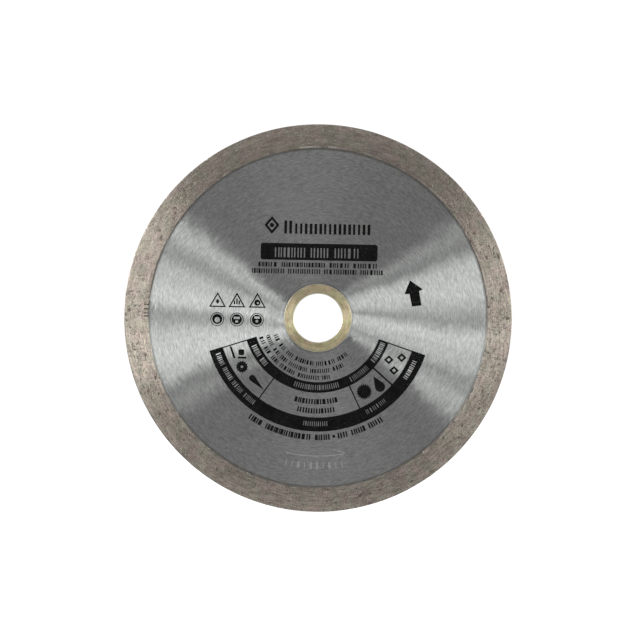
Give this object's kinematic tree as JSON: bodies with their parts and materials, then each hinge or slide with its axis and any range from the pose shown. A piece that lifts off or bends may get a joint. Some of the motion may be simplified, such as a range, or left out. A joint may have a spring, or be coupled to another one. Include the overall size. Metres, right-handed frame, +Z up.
{
  "type": "diamond blade",
  "caption": "Continuous-rim diamond cutting disc for tile and stone: ground steel core, sintered diamond rim and a removable brass reducer bush in the arbor hole.",
  "frame": {"origin": "centre of the bore, on the blade's mid-plane", "axes": "+Y along the spin axis, from the label side to the plain side, so the label side faces -Y; +Z up, through the top of the label; +X to the right seen from the label side"},
  "size_m": [0.1272, 0.0018, 0.1272],
  "materials": {
    "core_steel": "satin, ground in circles round the bore",
    "sintered_bond": "matte, sintered bronze and iron bond, dressed",
    "synthetic_diamond": "gloss, yellow-grey industrial crystals",
    "bush_brass": "satin, turned",
    "print_ink": "matte, screen-printed ink"
  },
  "bodies": {
    "blade": {"steel_core": "core_steel", "diamond_rim": "sintered_bond", "diamond_crystals": "synthetic_diamond"},
    "bush": {"reducer_bush": "bush_brass"}
  },
  "joints": [
    {"name": "bush_push_out", "type": "slide", "parent": "blade", "child": "bush", "axis": [0, -1, 0], "range_m": [-0.006, 0.006]}
  ]
}
